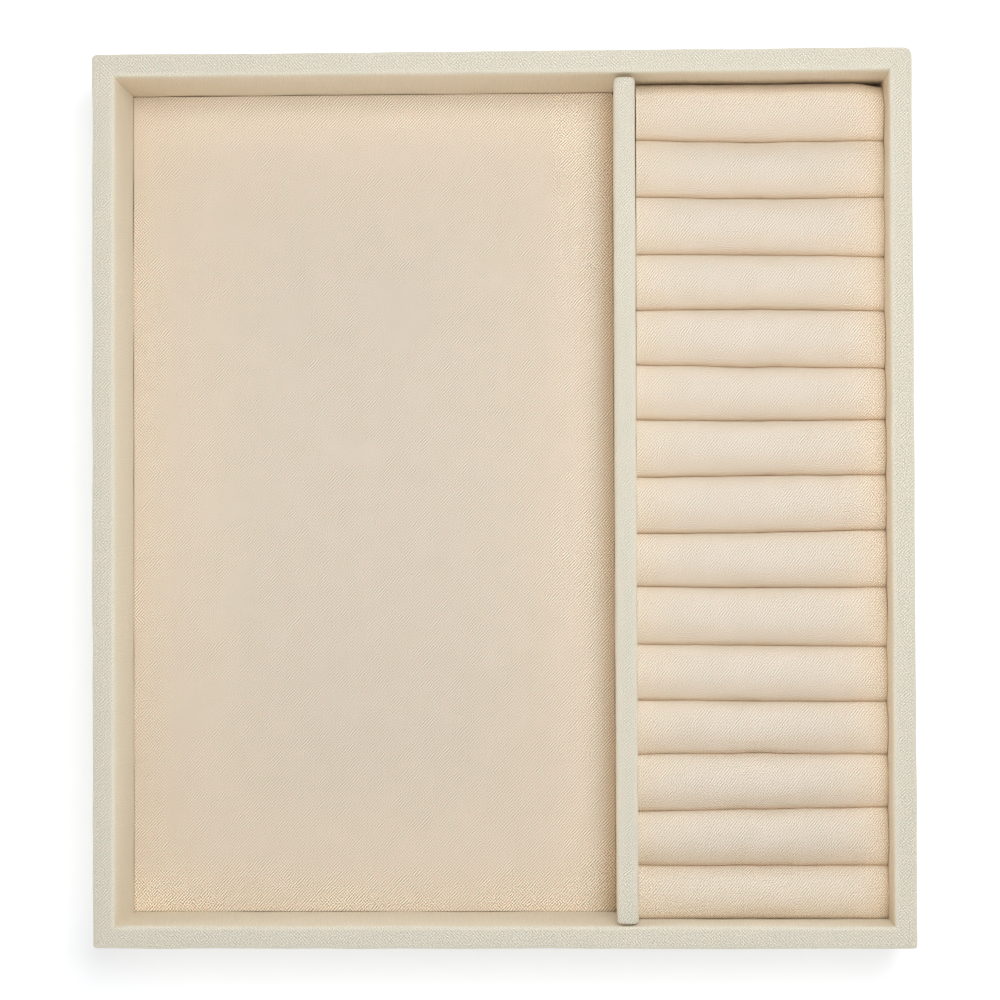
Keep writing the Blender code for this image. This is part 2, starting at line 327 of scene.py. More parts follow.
def cloth_material(name, colour, tints, sizes, looks):
    """Plain-woven cloth on the weave map, with uneven threads, mottled dye, a few dark flecks and painted shade in its
    folds and grooves.
    """
    bench = Bench(name, roughness=0.92)
    bench.shader.inputs["Sheen Weight"].default_value = 0.06
    bench.shader.inputs["Sheen Roughness"].default_value = 0.6
    place = bench.add("ShaderNodeUVMap", {}, uv_map=WEAVE_MAP)

    woven = place
    for scale, reach in ((120, 0.0004), (420, looks["wander"])):
        drift = bench.noise(place, scale, 1, output=1)
        drift = bench.add("ShaderNodeVectorMath", {0: drift, 1: (0.5, 0.5, 0.5)}, operation="SUBTRACT")
        woven = bench.add("ShaderNodeVectorMath", {0: woven, 1: bench.scaled(drift, reach)}, operation="ADD")
    split = bench.add("ShaderNodeSeparateXYZ", {"Vector": woven}).node
    across = bench.sum("MULTIPLY", split.outputs[0], math.pi / sizes.thread_across)
    along = bench.sum("MULTIPLY", split.outputs[1], math.pi / sizes.thread_along)

    # Which thread is on top, as two crossing diagonals of which one is the stronger
    rising = bench.sum("COSINE", bench.sum("SUBTRACT", across, along))
    falling = bench.sum("COSINE", bench.sum("ADD", across, along))
    patches = bench.noise(place, 330, 2)
    rising = bench.sum("MULTIPLY", rising, bench.between(patches, 0.30, 0.70, 0.35, 1.45))
    falling = bench.sum("MULTIPLY", falling, bench.between(patches, 0.30, 0.70, looks["crossing"], 0.10))
    weave = bench.sum("SUBTRACT", rising, falling)

    # Dark holes where four threads meet
    open_across = bench.sum("ABSOLUTE", bench.sum("COSINE", across))
    open_along = bench.sum("ABSOLUTE", bench.sum("COSINE", along))
    holes = bench.between(bench.sum("MULTIPLY", open_across, open_along), 0.45, 1.0)

    # Thick and thin threads, both ways, and loose fibre
    weft = bench.noise(bench.stretched(place, (90, 1700, 1)), 1, 1)
    warp = bench.noise(bench.stretched(place, (1700, 90, 1)), 1, 1)
    slubs = bench.sum("ADD", bench.sum("SUBTRACT", weft, 0.5), bench.sum("SUBTRACT", warp, 0.5))
    fibre = bench.sum("SUBTRACT", bench.noise(place, 2900, 2), 0.5)

    shade = bench.sum("MULTIPLY_ADD", weave, looks["contrast"], 1.10)
    shade = bench.sum("MULTIPLY_ADD", holes, -0.14, shade)
    shade = bench.sum("MULTIPLY_ADD", slubs, 0.10, shade)
    shade = bench.sum("MULTIPLY_ADD", fibre, looks["fibre"], shade)

    # Slow drifts of the dye, towards each tint
    dyed = (*colour, 1)
    for number, (scale, amount, tint) in enumerate(tints):
        spot = bench.add("ShaderNodeMapping", {"Vector": place, "Location": (number * 0.37, number * 0.61, 0)})
        share = bench.between(bench.noise(spot, scale, 3), 0.35, 0.72, 0.0, amount)
        dyed = bench.mixed(share, dyed, (*tint, 1))

    flecks = bench.noise(place, 900, 1)
    rare = bench.noise(place, 130, 0)
    flecks = bench.sum("MULTIPLY", bench.between(flecks, 0.76, 0.80), bench.between(rare, 0.60, 0.66))
    dyed = bench.mixed(bench.sum("MULTIPLY", flecks, 0.55), dyed, (0.30, 0.22, 0.15, 1))

    # Painted shade: where the point attribute marks folds, grooves and shaded faces, the colour is mixed towards a
    # darker, warmer tone
    painted_shade = bench.add("ShaderNodeAttribute", {}, 2, attribute_name=PAINTED_SHADE_MAP)
    shaded_tone = bench.add("ShaderNodeVectorMath", {0: dyed, 1: looks["painted_shade"]}, operation="MULTIPLY")
    dyed = bench.mixed(painted_shade, dyed, shaded_tone)

    relief = bench.sum("MULTIPLY_ADD", weave, 0.3, bench.sum("MULTIPLY", fibre, 0.5))
    relief = bench.sum("MULTIPLY_ADD", holes, -0.5, relief)
    return bench.finish(bench.scaled(dyed, shade), relief, 0.00005, 0.35)


def greige_material():
    colours, sizes = bpy.context.scene.ring_tray_colours, bpy.context.scene.ring_tray_sizes
    tints = ((420, 0.35, (0.77, 0.68, 0.57)), (150, 0.30, (0.68, 0.68, 0.56)), (60, 0.20, (0.77, 0.74, 0.64)))
    # The last look is the darker, warmer tone that painted shade mixes in
    looks = {"contrast": 0.15, "crossing": 1.0, "wander": 0.0007, "fibre": 1.8, "painted_shade": (0.95, 0.84, 0.74)}
    return cloth_material("woven_greige", colours.greige, tints, sizes, looks)


def blush_material(name, contrast, wander):
    """The liner's cloth is stretched flat, so that its weave stands out more than the rolls'."""
    colours, sizes = bpy.context.scene.ring_tray_colours, bpy.context.scene.ring_tray_sizes
    tints = ((420, 0.35, (0.84, 0.70, 0.60)), (130, 0.30, (0.79, 0.72, 0.57)), (60, 0.20, (0.84, 0.75, 0.63)))
    # The last look is the darker, warmer tone that painted shade mixes in
    looks = {"contrast": contrast, "crossing": 0.95, "wander": wander, "fibre": 2.6, "painted_shade": (0.86, 0.77, 0.66)}
    return cloth_material(name, colours.blush, tints, sizes, looks)


def board_material(colour):
    """Pressed grey board with specks of pulp."""
    bench = Bench("pressed_board", roughness=0.85)
    place = bench.add("ShaderNodeTexCoord", {}, 3)
    pulp = bench.noise(place, 900, 4)
    layers = bench.noise(bench.stretched(place, (60, 60, 1800)), 1, 2)
    specks = bench.between(bench.noise(place, 2600, 1), 0.66, 0.74)
    shade = bench.sum("ADD", bench.sum("MULTIPLY", pulp, 0.35), bench.sum("MULTIPLY_ADD", layers, 0.25, 0.70))
    mixed = bench.mixed(bench.sum("MULTIPLY", specks, 0.6), (*colour, 1), (0.20, 0.17, 0.14, 1))
    return bench.finish(bench.scaled(mixed, shade), pulp, 0.00005, 0.4)


def card_material(colour):
    """White card with a faint grain of fibre."""
    bench = Bench("fibre_card", roughness=0.80)
    place = bench.add("ShaderNodeTexCoord", {}, 3)
    grain = bench.noise(bench.stretched(place, (500, 1400, 500)), 1, 4)
    cloud = bench.noise(place, 90, 2)
    shade = bench.sum("ADD", bench.sum("MULTIPLY", grain, 0.16), bench.sum("MULTIPLY_ADD", cloud, 0.10, 0.87))
    tinted = bench.mixed(bench.between(cloud, 0.3, 0.7), (*colour, 1), (0.74, 0.70, 0.62, 1))
    return bench.finish(bench.scaled(tinted, shade), grain, 0.00003, 0.3)


def foam_material(colour):
    """Open-cell foam, with cells about half a millimetre across."""
    bench = Bench("open_foam", roughness=0.95)
    place = bench.add("ShaderNodeTexCoord", {}, 3)
    cells = bench.add("ShaderNodeTexVoronoi", {"Vector": place, "Scale": 1900}, feature="F1")
    walls = bench.between(cells, 0.15, 0.75)
    yellow = bench.mixed(bench.noise(place, 70, 3), (*colour, 1), (0.80, 0.72, 0.55, 1))
    shade = bench.sum("MULTIPLY_ADD", walls, 0.40, 0.65)
    return bench.finish(bench.scaled(yellow, shade), walls, 0.00020, 0.7)


def felt_material(colour):
    """Pressed felt of short, tangled fibres."""
    bench = Bench("pressed_felt", roughness=0.98)
    bench.shader.inputs["Sheen Weight"].default_value = 0.3
    place = bench.add("ShaderNodeTexCoord", {}, 3)
    tangle = bench.noise(place, 900, 5, Distortion=2.5)
    cloud = bench.noise(place, 120, 2)
    shade = bench.sum("ADD", bench.sum("MULTIPLY", tangle, 0.9), bench.sum("MULTIPLY_ADD", cloud, 0.2, 0.45))
    light = bench.mixed(bench.between(tangle, 0.35, 0.65), (*colour, 1), (0.60, 0.54, 0.45, 1))
    return bench.finish(bench.scaled(light, shade), tangle, 0.00030, 0.8)


def backdrop_material(name, colour, glow):
    """Diffuse paint that looks a little brighter to the camera, mirrors and glass, but sends out no light."""
    material = bpy.data.materials.new(name)
    material.use_nodes = True
    nodes, links = material.node_tree.nodes, material.node_tree.links
    nodes.clear()
    paint = nodes.new("ShaderNodeBsdfDiffuse")
    paint.inputs["Color"].default_value = (*colour, 1)
    white = nodes.new("ShaderNodeEmission")
    rays = nodes.new("ShaderNodeLightPath")
    seen = None
    for ray in ("Is Camera Ray", "Is Glossy Ray", "Is Transmission Ray"):
        if seen is None:
            seen = rays.outputs[ray]
            continue
        either = nodes.new("ShaderNodeMath")
        either.operation = "MAXIMUM"
        links.new(seen, either.inputs[0])
        links.new(rays.outputs[ray], either.inputs[1])
        seen = either.outputs[0]
    strength = nodes.new("ShaderNodeMath")
    strength.operation = "MULTIPLY"
    strength.inputs[1].default_value = glow
    links.new(seen, strength.inputs[0])
    links.new(strength.outputs[0], white.inputs["Strength"])
    both = nodes.new("ShaderNodeAddShader")
    links.new(paint.outputs[0], both.inputs[0])
    links.new(white.outputs[0], both.inputs[1])
    links.new(both.outputs[0], nodes.new("ShaderNodeOutputMaterial").inputs["Surface"])
    return material


# Modelling


def start_block(name, low, high):
    """A cube at its size and place, in edit mode."""
    bpy.ops.object.select_all(action="DESELECT")
    bpy.ops.mesh.primitive_cube_add(size=1, location=(low + high) / 2)
    piece = bpy.context.object
    piece.name = piece.data.name = name
    piece.scale = high - low
    bpy.ops.object.transform_apply(location=True, rotation=True, scale=True)
    bpy.ops.object.mode_set(mode="EDIT")
    return piece


def choose(kind, chosen):
    """Selects the faces or edges of the mesh in edit mode that are chosen."""
    bpy.ops.mesh.select_mode(type=kind)
    bpy.ops.mesh.select_all(action="DESELECT")
    mesh = bpy.context.object.data
    bm = bmesh.from_edit_mesh(mesh)
    for part in bm.faces if kind == "FACE" else bm.edges:
        if chosen(part):
            part.select_set(True)
    bmesh.update_edit_mesh(mesh)


def middle(edge):
    return (edge.verts[0].co + edge.verts[1].co) / 2


def runs(edge, axis):
    """Whether an edge runs along an axis."""
    along = edge.verts[1].co - edge.verts[0].co
    return abs(along[axis]) > 0.9 * along.length


def near(value, target):
    return abs(value - target) < 0.00002


def round_chosen(radius, steps):
    bpy.ops.mesh.bevel(offset=radius, segments=steps, profile=0.5, affect="EDGES", clamp_overlap=False)


def slice_at(axis, places):
    """Cuts the whole mesh across an axis, at each place."""
    normal = Vector((0, 0, 0))
    normal[axis] = 1
    for place in places:
        bpy.ops.mesh.select_all(action="SELECT")
        bpy.ops.mesh.bisect(plane_co=normal * place, plane_no=normal)


def steps_between(low, high, size):
    count = max(1, round((high - low) / size))
    return [low + (high - low) * step / count for step in range(1, count)]


def leave_edit():
    bpy.ops.mesh.select_all(action="SELECT")
    bpy.ops.mesh.normals_make_consistent(inside=False)
    bpy.ops.object.mode_set(mode="OBJECT")


def apply_modifier(piece, kind, **settings):
    modifier = piece.modifiers.new(kind.lower(), kind)
    for key, value in settings.items():
        setattr(modifier, key, value)
    bpy.ops.object.modifier_apply(modifier=modifier.name)


def give_thickness(piece, thickness):
    apply_modifier(piece, "SOLIDIFY", thickness=thickness, offset=-1, use_even_offset=True)


def uneven(piece, amount, size, shift):
    """Moves each point along its normal by a slow noise, as glued cloth lies."""
    mesh = piece.data
    for vertex, normal in zip(mesh.vertices, [v.vector.copy() for v in mesh.vertex_normals]):
        wave = noise.noise(vertex.co / size + Vector((shift, 0, 0)))
        vertex.co += normal * (wave * amount)


def lay_weave(piece, place_of):
    """Writes the weave map: where each corner of each face lies on the flat cloth, in metres."""
    mesh = piece.data
    while mesh.uv_layers:
        mesh.uv_layers.remove(mesh.uv_layers[0])
    layer = mesh.uv_layers.new(name=WEAVE_MAP)
    for loop in mesh.loops:
        vertex = mesh.vertices[loop.vertex_index]
        layer.data[loop.index].uv = place_of(vertex.co, vertex.normal)


def paint_shade(piece, painted_shade_at):
    """Writes the painted shade at each point of a piece, from 0 to 1, deepest in folds, grooves and shaded faces."""
    mesh = piece.data
    marks = mesh.attributes.new(name=PAINTED_SHADE_MAP, type="FLOAT", domain="POINT")
    for vertex, mark in zip(mesh.vertices, marks.data):
        mark.value = max(0.0, min(1.0, painted_shade_at(vertex.co)))


def ease(value, low, high):
    """A smooth step from 0 at low to 1 at high."""
    share = max(0.0, min(1.0, (value - low) / (high - low)))
    return share * share * (3 - 2 * share)


def hand_over(piece, material, slot, body, *replaced):
    """Finishes a piece: smooth shading, its material, the body it rides on and what it replaces. The slot is not used.
    """
    piece.data.materials.clear()
    piece.data.materials.append(material)
    bpy.ops.object.shade_smooth_by_angle(angle=math.radians(50))
    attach(piece, body)
    if replaced:
        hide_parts(*replaced)


# Pieces


def round_corner(piece, centre, radius):
    """Bends the square corner beyond a centre into an arc, in the wall's own directions."""
    side = 1 if centre.x > 0 else -1
    for vertex in piece.data.vertices:
        out, beyond = vertex.co.y - centre.y, side * (vertex.co.x - centre.x)
        if out > 0 and beyond > 0:
            angle = min(beyond / out, 1) * math.pi / 4
            vertex.co.x = centre.x + side * out * math.sin(angle)
            vertex.co.y = centre.y + out * math.cos(angle)


def close_mitres(piece, half_span, reach, wall, overlap):
    """Squares up both mitred ends, and carries their inner half a little into the next wall's linen."""
    for vertex in piece.data.vertices:
        inset = reach - vertex.co.y
        if abs(abs(vertex.co.x) - (half_span - inset)) < 0.00015:
            end = half_span - inset + overlap * ease(inset, wall * 0.6, wall)
            vertex.co.x = math.copysign(end, vertex.co.x)


def wall_linen(side, sizes, material):
    """The linen of one wall: up its outside, over the rim, down its inside and turned in below."""
    turn = WALL_TURNS[side]
    across, along = TRAY_HIGH.x, TRAY_HIGH.y
    half_span, reach = (across, along) if side in ("back", "front") else (along, across)
    wall = WALL - sizes.pressed_in
    low = Vector((-half_span, reach - wall, WRAP_BOTTOM))
    high = Vector((half_span, reach, TRAY_HIGH.z))
    piece = start_block(f"{side}_wall_wrap", low, high)
    choose("FACE", lambda face: abs(face.normal.x) > 0.5 or face.normal.z < -0.5)
    bpy.ops.mesh.delete(type="FACE")
    choose("EDGE", lambda edge: runs(edge, 0) and near(middle(edge).y, low.y) and near(middle(edge).z, low.z))
    bpy.ops.transform.translate(value=(0, 0, SEAT - low.z))
    choose("EDGE", lambda edge: runs(edge, 0) and near(middle(edge).y, high.y) and near(middle(edge).z, low.z))
    bpy.ops.mesh.extrude_edges_move(TRANSFORM_OT_translate={"value": (0, -sizes.turn_in, 0)})
    for y, z, radius, steps in (
        (high.y, high.z, sizes.rim_outer_round, 4),
        (low.y, high.z, sizes.rim_inner_round, 5),
        (high.y, low.z, sizes.fold_round, 3),
    ):
        choose("EDGE", lambda edge: runs(edge, 0) and near(middle(edge).y, y) and near(middle(edge).z, z))
        round_chosen(radius, steps)

    # Rows along the wall, closer together where the outer corners are rounded
    slice_at(0, steps_between(-half_span, half_span, 0.0035))
    for end in (-1, 1):
        slice_at(0, [end * (half_span - 0.0005 * step) for step in range(1, 6)])
    slice_at(2, steps_between(SEAT, high.z - sizes.rim_inner_round, 0.004))
    slice_at(1, [reach - wall / 2])

    # Mitres at both ends
    for end in (-1, 1):
        normal = Vector((end, -1, 0)).normalized()
        corner = Vector((end * half_span, reach, 0)) - normal * sizes.mitre_gap
        bpy.ops.mesh.select_all(action="SELECT")
        bpy.ops.mesh.bisect(plane_co=corner, plane_no=normal, clear_outer=True)
    leave_edit()
    close_mitres(piece, half_span, reach, wall, sizes.mitre_overlap)

    # Path over the wall, from the outer foot: up, across the rim, and down again
    def place_of(point, normal):
        inset = reach - point.y
        if point.z < WRAP_BOTTOM + sizes.fold_round and normal.z < 0:
            return point.x, point.z - inset
        if inset < wall / 2:
            return point.x, point.z + inset
        return point.x, 2 * TRAY_HIGH.z + inset - point.z

    lay_weave(piece, place_of)

    # Painted shade: the inner face is darkened and warmed, most on the back and right walls and low behind the rolls,
    # fading towards the rim
    def painted_shade_at(point):
        inside = ease(reach - point.y, wall * 0.6, wall)
        behind_rolls = side == "back" and point.x > 0.042
        shade_strength = max(WALL_PAINTED_SHADE[side], 1 - ease(point.z, 0.0215, 0.0265) if behind_rolls else 0)
        return shade_strength * inside * ease(high.z - point.z, 0.0008, 0.004)

    paint_shade(piece, painted_shade_at)
    for end, place in ((-1, 0), (1, 1)):
        radius = corner_radius(side, place, sizes)
        round_corner(piece, Vector((end * (half_span - radius), reach - radius, 0)), radius)
    piece.rotation_euler.z = turn
    bpy.ops.object.transform_apply(location=False, rotation=True, scale=False)
    uneven(piece, sizes.sag, 0.016, 3.0)
    give_thickness(piece, sizes.cloth)
    hand_over(piece, material, "greige_linen", "tray", f"{side}_wall_linen")

    return piece


def corner_radius(side, place, sizes):
    """The outer corner at a wall's local left (0) or right (1) end."""
    back_left, back_right, front_right, front_left = sizes.corner_rounds
    ends = {
        "back": (back_left, back_right),
        "left": (front_left, back_left),
        "front": (front_right, front_left),
        "right": (back_right, front_right),
    }
    return ends[side][place]


class RINGTRAY_OT_wall_linens(bpy.types.Operator):
    """Wraps each wall in greige linen, mitred at the corners"""

    bl_idname = "ringtray.wall_linens"
    bl_label = "Wall linens"

    def execute(self, context):
        material = greige_material()
        for side in WALL_TURNS:
            wall_linen(side, context.scene.ring_tray_sizes, material)
        return {"FINISHED"}


class RINGTRAY_OT_divider_linen(bpy.types.Operator):
    """Covers the divider with a greige linen sleeve, closed over its rounded ends"""

    bl_idname = "ringtray.divider_linen"
    bl_label = "Divider linen"

    def execute(self, context):
        sizes = context.scene.ring_tray_sizes
        low, high = corners("divider_linen")
        low.x += sizes.divider_shift
        high.x += sizes.divider_shift
        high.y -= sizes.divider_end_gap
        piece = start_block("divider_sleeve", low, high)
        choose("FACE", lambda face: face.normal.z < -0.5)
        bpy.ops.mesh.delete(type="FACE")
        choose("EDGE", lambda edge: runs(edge, 1) and near(middle(edge).z, high.z))
        round_chosen(sizes.divider_round, 4)
        for end in (low.y, high.y):
            choose(
                "EDGE",
                lambda edge: near(edge.verts[0].co.y, end)
                and near(edge.verts[1].co.y, end)
                and not near(middle(edge).z, low.z),
            )
            round_chosen(sizes.divider_end_round, 3)
        slice_at(1, steps_between(low.y + 0.003, high.y - 0.003, 0.004))
        slice_at(2, steps_between(low.z, high.z - sizes.divider_round, 0.004))
        slice_at(0, [(low.x + high.x) / 2])
        leave_edit()
        centre = (low.x + high.x) / 2

        def place_of(point, normal):
            side = 1 if point.x > centre else -1
            return point.y, point.x - centre + side * (high.z - point.z)

        lay_weave(piece, place_of)

        # Painted shade down the divider's left flank, fading towards its top
        def painted_shade_at(point):
            return 0.6 * ease(centre - point.x, 0.0022, 0.0033) * ease(high.z - point.z, 0.0, 0.004)

        paint_shade(piece, painted_shade_at)
        uneven(piece, sizes.sag * 0.7, 0.012, 11.0)
        give_thickness(piece, sizes.cloth)
        colours = bpy.data.materials.get("woven_greige") or greige_material()
        hand_over(piece, colours, "greige_linen", "tray", "divider_linen")
        return {"FINISHED"}


class RINGTRAY_OT_floor_liner(bpy.types.Operator):
    """Covers the floor card of the open compartment with blush cloth"""

    bl_idname = "ringtray.floor_liner"
    bl_label = "Floor liner"

    def execute(self, context):
        sizes = context.scene.ring_tray_sizes
        low, high = corners("floor_liner_linen")
        spread = sizes.liner_spread
        low += Vector((-spread - sizes.pressed_in, -spread - sizes.pressed_in, 0))
        high += Vector((spread + sizes.divider_shift + 0.00003, spread + sizes.pressed_in - 0.00009, 0))
        piece = start_block("floor_liner_cloth", low, high)
        choose("FACE", lambda face: face.normal.z < -0.5)
        bpy.ops.mesh.delete(type="FACE")
        choose("EDGE", lambda edge: runs(edge, 2))
        round_chosen(sizes.liner_corner, 4)
        choose("EDGE", lambda edge: near(edge.verts[0].co.z, high.z) and near(edge.verts[1].co.z, high.z))
        round_chosen(sizes.liner_round, 4)
        slice_at(0, steps_between(low.x + 0.002, high.x - 0.002, 0.0045))
        slice_at(1, steps_between(low.y + 0.002, high.y - 0.002, 0.0045))
        slice_at(0, [low.x + 0.0015, low.x + 0.003, high.x - 0.001, high.x - 0.002, high.x - 0.003, high.x - 0.0045])
        slice_at(1, [low.y + 0.0015, low.y + 0.003, high.y - 0.0015, high.y - 0.003])
        leave_edit()
        lay_weave(piece, lambda point, normal: (point.x, point.y))

        # Painted shade: deep beside the divider, lighter near the walls, and faint all over the liner
        def painted_shade_at(point):
            beside_divider = 1 - ease(high.x - point.x, 0.0005, 0.0065)
            to_wall = min(point.x - low.x, point.y - low.y, high.y - point.y)
            return max(0.09 + 0.91 * beside_divider, 0.25 * (1 - ease(to_wall, 0.001, 0.006)))

        paint_shade(piece, painted_shade_at)
        uneven(piece, sizes.sag * 0.6, 0.020, 23.0)
        give_thickness(piece, sizes.cloth)
        material = blush_material("woven_blush_liner", 0.37, 0.00055)
        hand_over(piece, material, "blush_cloth", "tray", "floor_liner_linen")
        return {"FINISHED"}


class RINGTRAY_OT_underside_felt(bpy.types.Operator):
    """Lays the felt pad under the base, over the turned-in linen"""

    bl_idname = "ringtray.underside_felt"
    bl_label = "Underside felt"

    def execute(self, context):
        low, high = corners("underside_felt")
        piece = start_block("felt_pad", low, high)
        choose("EDGE", lambda edge: runs(edge, 2))
        round_chosen(0.003, 5)
        choose("EDGE", lambda edge: not runs(edge, 2))
        round_chosen(0.0002, 2)
        slice_at(0, steps_between(low.x + 0.004, high.x - 0.004, 0.010))
        slice_at(1, steps_between(low.y + 0.004, high.y - 0.004, 0.010))
        leave_edit()
        felt = felt_material(context.scene.ring_tray_colours.felt)
        hand_over(piece, felt, "beige_felt", "tray", "underside_felt")
        width, length, height = high - low
        return {"FINISHED"}


def roll_seams(sizes):
    """Two functions of x for each roll: where its back and front seams run, in y."""
    low, high = corners("ring_roll_cover_01")
    last_low, last_high = corners(f"ring_roll_cover_{ROLL_COUNT:02d}")
    half_length = (high.x - low.x) / 2
    centre = (high.x + low.x) / 2
    pitch = (high.y - last_high.y) / (ROLL_COUNT - 1)
    gap = pitch - (high.y - low.y)

    def seam(number):
        if number == 0:
            return lambda x: high.y + sizes.pressed_in - sizes.back_dip * (
                0.05 + 0.95 * ease(x, high.x - 0.009, high.x)
            )
        if number == ROLL_COUNT:
            return lambda x: last_low.y - sizes.pressed_in - sizes.roll_end_spread
        shift, lean, bow = (0.001 * drift for drift in SEAM_DRIFTS_MM[number - 1])
        even = high.y - number * pitch + gap / 2

        def place(x):
            t = (x - centre) / half_length
            ripple = noise.noise(Vector((x / 0.011, number * 7.3, 0))) * 0.00022
            return even + shift + lean * t + bow * (t * t - 1 / 3) + ripple

        return place

    return [seam(number) for number in range(ROLL_COUNT + 1)], centre


def swell(piece, sizes):
    """Fills a closed cover with air for twenty frames, and caps how far its cloth moves."""
    scene = bpy.context.scene
    mesh = piece.data
    floor = min(vertex.co.z for vertex in mesh.vertices)
    glued = piece.vertex_groups.new(name="glued")
    glued.add([v.index for v in mesh.vertices if v.co.z < floor + 0.002], 1, "REPLACE")
    before = [vertex.co.copy() for vertex in mesh.vertices]
    cloth = piece.modifiers.new("filling", "CLOTH")
    cloth.settings.quality = 4
    cloth.settings.mass = 0.15
    cloth.settings.tension_stiffness = 25
    cloth.settings.compression_stiffness = 25
    cloth.settings.bending_stiffness = 1.5
    cloth.settings.use_pressure = True
    cloth.settings.uniform_pressure_force = sizes.pressure
    cloth.settings.vertex_group_mass = glued.name
    cloth.settings.effector_weights.gravity = 0
    cloth.collision_settings.use_self_collision = False
    cloth.point_cache.frame_start, cloth.point_cache.frame_end = 1, 20
    for number in range(1, 21):
        scene.frame_set(number)
    bpy.ops.object.modifier_apply(modifier=cloth.name)
    scene.frame_set(1)
    piece.vertex_groups.clear()
    for vertex, old in zip(piece.data.vertices, before):
        move = vertex.co - old
        if move.length > sizes.swell_limit:
            vertex.co = old + move.normalized() * sizes.swell_limit


def shape_roll(name, low, high, sizes):
    """One roll as it leaves the bench: upright flanks under an arched top, and two rounded ends."""
    bpy.ops.object.select_all(action="DESELECT")
    shoulder = high.z - sizes.roll_crown
    centre = Vector(((low.x + high.x) / 2, (low.y + high.y) / 2, shoulder))
    bpy.ops.mesh.primitive_cylinder_add(
        vertices=48, radius=1, depth=high.x - low.x, location=centre, rotation=(0, math.pi / 2, 0)
    )
    piece = bpy.context.object
    piece.name = piece.data.name = name
    bpy.ops.object.transform_apply(location=False, rotation=True, scale=False)
    piece.scale = (1, (high.y - low.y) / 2, sizes.roll_crown)
    bpy.ops.object.transform_apply(location=True, rotation=False, scale=True)
    bpy.ops.object.mode_set(mode="EDIT")
    bpy.ops.mesh.select_all(action="SELECT")
    bpy.ops.mesh.bisect(plane_co=centre, plane_no=(0, 0, 1), clear_inner=True, use_fill=True)
    choose("FACE", lambda face: face.normal.z < -0.9)
    bpy.ops.mesh.extrude_region_move(TRANSFORM_OT_translate={"value": (0, 0, low.z - shoulder)})
    for end, radius in ((low.x, sizes.roll_left_round), (high.x, sizes.roll_right_round)):
        choose(
            "EDGE",
            lambda edge: near(edge.verts[0].co.x, end)
            and near(edge.verts[1].co.x, end)
            and not (near(edge.verts[0].co.z, low.z) and near(edge.verts[1].co.z, low.z)),
        )
        round_chosen(radius, 3)
    leave_edit()
    piece.data.remesh_voxel_size = sizes.roll_grid
    piece.data.use_remesh_preserve_volume = True
    bpy.ops.object.voxel_remesh()
    return piece


def settle_roll(piece, back, front, low, high, sizes):
    """Squeezes a roll between its two seams, and lets its top fall towards the wall end."""
    middle_y, half_width = (low.y + high.y) / 2, (high.y - low.y) / 2
    for vertex in piece.data.vertices:
        point = vertex.co
        back_y, front_y = back(point.x) - sizes.seam_gap, front(point.x) + sizes.seam_gap
        share = sizes.squeeze * (point.y - middle_y) / half_width
        point.y = (back_y + front_y) / 2 + share * (back_y - front_y) / 2
        fall = ease(point.x, high.x - sizes.roll_fall_length, high.x) * sizes.roll_fall
        point.z -= fall * ease(point.z, low.z + 0.008, high.z)


def keep_in_bay(piece, back, front, low, high, sizes):
    """Holds every point of a roll between its seams, the walls and the card."""
    for vertex in piece.data.vertices:
        point = vertex.co
        point.x = max(low.x, min(high.x, point.x))
        point.y = max(front(point.x) + sizes.seam_gap, min(back(point.x) - sizes.seam_gap, point.y))
        point.z = max(low.z, point.z)


def drop_back_edge(piece, back, low, high, sizes):
    """Rounds the first roll's top down into the corner at the back wall."""
    for vertex in piece.data.vertices:
        point = vertex.co
        inside = min(1.0, (back(point.x) - point.y) / sizes.back_reach)
        drop = sizes.back_fall * (1 - inside) ** 1.5
        point.z -= drop * ease(point.z, low.z + 0.004, high.z - 0.002)


def lay_roll_weave(piece, centre_x, centre_y, top):
    """The cloth runs along the roll, and over its flanks and ends as it curves down."""

    def place_of(point, normal):
        drop = max(0.0, top - point.z)
        extra = drop * drop / (drop + 0.006)
        level = normal.x * normal.x + normal.y * normal.y + 0.0001
        over_end = math.copysign(extra * normal.x * normal.x / level, point.x - centre_x)
        over_flank = math.copysign(extra * normal.y * normal.y / level, point.y - centre_y)
        return (point.x + over_end) * 1.07, (point.y + over_flank) * 0.925

    lay_weave(piece, place_of)


def work_on(piece):
    bpy.ops.object.select_all(action="DESELECT")
    bpy.context.view_layer.objects.active = piece
    piece.select_set(True)


